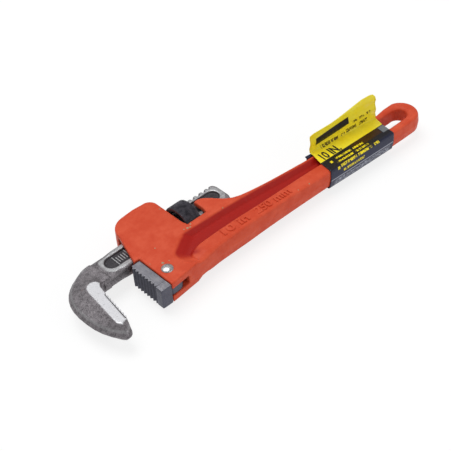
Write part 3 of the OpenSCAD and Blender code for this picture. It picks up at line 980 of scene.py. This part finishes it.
# The card sleeve: its two ends, the fold and the grip's two edges at some places along it, and the
# flap's height over its length
LABEL_X = (112.0, 161.6)
FOLD = ((112, 162), (10.9, 5.5))
FAR_EDGE = ((112, 135, 148, 164), (9.15, 8.1, 7.7, 7.85))
NEAR_EDGE = ((112, 119, 135, 148, 164), (-8.75, -9.15, -10.05, -10.75, -11.5))
FLAP_U = (0, 0.04, 0.3, 0.55, 0.78, 0.9, 0.955, 0.985, 1.0)
FLAP_HEIGHT = (11.6, 12.7, 14.3, 17.2, 19.9, 20.3, 19.7, 18.2, 15.6)
# How far the card's rows lie askew along the grip, by their distance from the fold
SKEW = ((-20, 0, 8, 17, 28, 60), (3.6, 2.6, 0.4, -0.9, -2.0, -1.4))
CARD_THICKNESS = 0.22
CARD_LIFT = 0.32
# Millimetres of card to one unit of its UV map
UV_SIZE = 100
# Sections along the card, and points up the flap and round the grip in each
STATIONS = 69
FLAP_POINTS = 18
ROUND_POINTS = 100


def bent(corners):
    """An open path through corners of (y, z, radius), each rounded."""
    path = []
    for i, (y, z, r) in enumerate(corners):
        here = np.array((y, z))
        if not r or i in (0, len(corners) - 1):
            path.append(here)
            continue
        back, on = (np.array(corners[i + k][:2]) - here for k in (-1, 1))
        r = min(r, 0.45 * np.linalg.norm(back), 0.45 * np.linalg.norm(on))
        start, end = here + back / np.linalg.norm(back) * r, here + on / np.linalg.norm(on) * r
        for t in np.linspace(0, 1, 6):
            path.append((1 - t) ** 2 * start + 2 * t * (1 - t) * here + t * t * end)
    return np.array(path)


def sleeve_path(x):
    """The card's section at x from the fold round the grip and back to the fold, as (y, z)."""
    h = float(half_thickness(x)) + CARD_LIFT
    fold, far, near = (np.interp(x, *edge) for edge in (FOLD, FAR_EDGE, NEAR_EDGE))
    return bent([(fold, h + 0.25, 0), (fold - 1.5, h + 0.05, 0.5), (near + 0.35, h, 0.9),
                 (near - 0.35, 0, 1.5), (near + 0.35, -h, 0.8), (far - 0.3, -h, 0.8),
                 (far + 0.35, 0, 1.5), (far + 0.15, h - 0.5, 0.8), (fold - 0.2, h - 0.05, 0)])


def build_sleeve():
    """The card wrapped round the grip, with its flap standing up from the fold."""
    spots, prints = [], []
    for x in np.linspace(*LABEL_X, STATIONS):
        path = sleeve_path(x)
        along = np.concatenate([[0], np.cumsum(np.linalg.norm(np.diff(path, axis=0), axis=1))])
        even = np.linspace(0, along[-1], ROUND_POINTS)
        ys, zs = np.interp(even, along, path[:, 0]), np.interp(even, along, path[:, 1])
        u = (x - LABEL_X[0]) / (LABEL_X[1] - LABEL_X[0])
        # The yellow ends on a slanting line along the grip
        edge_y = 0.4 - 1.6 * u
        offset = PRINT_EDGE - (ys[0] - edge_y)
        height = np.interp(u, FLAP_U, FLAP_HEIGHT)
        for row in range(FLAP_POINTS, 0, -1):
            w = row / FLAP_POINTS
            up = height * w
            wave = 0.3 * math.sin(up * 0.75 - 1.2 * u) * ease(up / 3)
            lean = -1.4 * u * w - 0.5 * w + wave
            spots.append((x + np.interp(-up, *SKEW) - 0.6 * w - 3.5 * u * w, ys[0] + lean, zs[0] + up))
            prints.append((x - LABEL_X[0], -up))
        for s, y, z in zip(even, ys, zs):
            spots.append((x + np.interp(s + offset, *SKEW), y, z))
            prints.append((x - LABEL_X[0], s + offset))
    width = FLAP_POINTS + ROUND_POINTS
    faces = []
    for i in range(STATIONS - 1):
        for j in range(width - 1):
            a = i * width + j
            faces.append((a, a + 1, a + 1 + width, a + width))
    piece = mesh_object("printed_sleeve", spots, faces)
    layer = piece.data.uv_layers.new(name="print")
    loops = np.empty(len(piece.data.loops), int)
    piece.data.loops.foreach_get("vertex_index", loops)
    layer.data.foreach_set("uv", (np.array(prints)[loops] / UV_SIZE).ravel())
    wall = piece.modifiers.new("card", "SOLIDIFY")
    wall.thickness = CARD_THICKNESS * MM
    wall.offset = 0
    place_piece(piece, "handle", "label_sleeve", CARD)
    place = Matrix.Translation((115.0, 0.9, float(half_thickness(120)) + 0.5))
    place = place @ Matrix.Rotation(math.radians(-2.6), 4, "Z")
    words = raised_text("size_print", "10 IN.", 8.2, place, thickness=0.04, stretch=0.72, weight=0.2)
    place_piece(words, "handle", material=BLACK_PRINT)


def dress_cad_nodes():
    """The pin and the springs keep their CAD shapes."""
    for name, material in (("heel_pin", BRIGHT), ("coil_spring", SPRING), ("flat_spring", SPRING)):
        coat(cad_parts[name], material)


# ---------------------------------------------------------------- stage, light and camera

# The stage, in metres, and the levels of its light
FLOOR_HALF = 4.0
FLOOR_GAP = 0.0002
FLOOR_GLOW = 1.1
FLOOR_GLOW_SHARE = 0.72
WORLD_LEVEL = 0.42
# Name, place, size and power of each lamp
LAMPS = (("key", (-0.1, 0.3, 1.2), 0.8, 8.0), ("near_side", (0.45, -1.2, 0.55), 0.9, 3.2))
# The camera's direction in degrees, and its distance from the pin's top in millimetres
CAMERA_AZIMUTH = 40.4
CAMERA_DROP = 43.0
CAMERA_ROLL = -4.3
CAMERA_DISTANCE = 526.7
LENS = 84.3
SENSOR = 36.0
# Where the pin's top lies off the lens's axis, counted in parts of the frame's side
FRAME_SIDE = 451
AIM_OFFSET = (58.2, -43.0)


def seen_by(nodes, links, first, second):
    """1 for two kinds of ray and 0 for the others."""
    path = nodes.new("ShaderNodeLightPath")
    either = nodes.new("ShaderNodeMath")
    either.operation = "MAXIMUM"
    links.new(path.outputs[first], either.inputs[0])
    links.new(path.outputs[second], either.inputs[1])
    return either.outputs[0]


def blend_shaders(nodes, links, amount, first, second, output):
    blend = nodes.new("ShaderNodeMixShader")
    for index, socket in enumerate((amount, first.outputs[0], second.outputs[0])):
        links.new(socket, blend.inputs[index])
    links.new(blend.outputs[0], nodes[output].inputs[0])


def build_stage():
    """A pale floor, which the camera and glossy metal see a little brighter than it is lit."""
    material = bpy.data.materials.new("pale_floor")
    material.use_nodes = True
    nodes, links = material.node_tree.nodes, material.node_tree.links
    shader = nodes["Principled BSDF"]
    shader.inputs["Base Color"].default_value = (0.86, 0.86, 0.86, 1)
    shader.inputs["Roughness"].default_value = 0.8
    shader.inputs["Specular IOR Level"].default_value = 0.1
    glow = nodes.new("ShaderNodeEmission")
    glow.inputs["Strength"].default_value = FLOOR_GLOW
    share = nodes.new("ShaderNodeMath")
    share.operation = "MULTIPLY"
    share.inputs[1].default_value = FLOOR_GLOW_SHARE
    links.new(seen_by(nodes, links, "Is Camera Ray", "Is Glossy Ray"), share.inputs[0])
    blend_shaders(nodes, links, share.outputs[0], shader, glow, "Material Output")
    mesh = bpy.data.meshes.new("floor")
    z = CAD_BOUNDS[0][2] - FLOOR_GAP
    corners = [(x * FLOOR_HALF, y * FLOOR_HALF, z) for x, y in ((-1, -1), (1, -1), (1, 1), (-1, 1))]
    mesh.from_pydata(corners, [], [(0, 1, 2, 3)])
    mesh.materials.append(material)
    put_in_scene("floor", mesh)


def build_light():
    world = bpy.data.worlds.new("studio")
    bpy.context.scene.world = world
    world.use_nodes = True
    nodes, links = world.node_tree.nodes, world.node_tree.links
    soft = nodes["Background"]
    soft.inputs["Color"].default_value = (1, 1, 1, 1)
    soft.inputs["Strength"].default_value = WORLD_LEVEL
    white = nodes.new("ShaderNodeBackground")
    white.inputs["Strength"].default_value = 1.0
    seen = seen_by(nodes, links, "Is Camera Ray", "Is Transmission Ray")
    blend_shaders(nodes, links, seen, soft, white, "World Output")
    for name, place, size, power in LAMPS:
        lamp = bpy.data.lights.new(name, "AREA")
        lamp.energy = power
        lamp.size = size
        stand = put_in_scene(name, lamp)
        stand.location = place
        stand.rotation_euler = (-Vector(place)).to_track_quat("-Z", "Y").to_euler()


def build_camera():
    """Looks down on the wrench from the side of the jaws."""
    a, e, r = (math.radians(v) for v in (CAMERA_AZIMUTH, CAMERA_DROP, CAMERA_ROLL))
    right = Vector((math.cos(a), -math.sin(a), 0))
    away = Vector((math.sin(a), math.cos(a), 0))
    forward = away * math.cos(e) - Vector((0, 0, math.sin(e)))
    up = away * math.sin(e) + Vector((0, 0, math.cos(e)))
    right, up = math.cos(r) * right + math.sin(r) * up, -math.sin(r) * right + math.cos(r) * up
    focal = LENS / SENSOR * FRAME_SIDE
    ray = forward * focal - right * AIM_OFFSET[0] + up * AIM_OFFSET[1]
    place = Vector((0, 0, HEAD_HALF)) - ray * (CAMERA_DISTANCE / focal)
    camera = bpy.data.cameras.new("camera")
    camera.lens = LENS
    camera.sensor_width = SENSOR
    camera.clip_start = 0.01
    stand = put_in_scene("camera", camera)
    turn = Matrix((right, up, -forward)).transposed()
    stand.matrix_world = Matrix.Translation(ZERO + place * MM) @ turn.to_4x4()
    bpy.context.scene.camera = stand


build_camera()
ENAMELLED = enamel()
FORGED = forged_steel()
BLUE_GREY = heel_steel()
BLACKENED = black_steel()
BRIGHT = bright_steel()
SPRING = spring_steel()
CARD = printed_card()
BLACK_PRINT = black_print()

build_handle()
build_size_marks()
build_hook()
build_heel()
build_nut()
build_sleeve()
dress_cad_nodes()
build_stage()
build_light()

bpy.context.scene.view_settings.view_transform = "Standard"
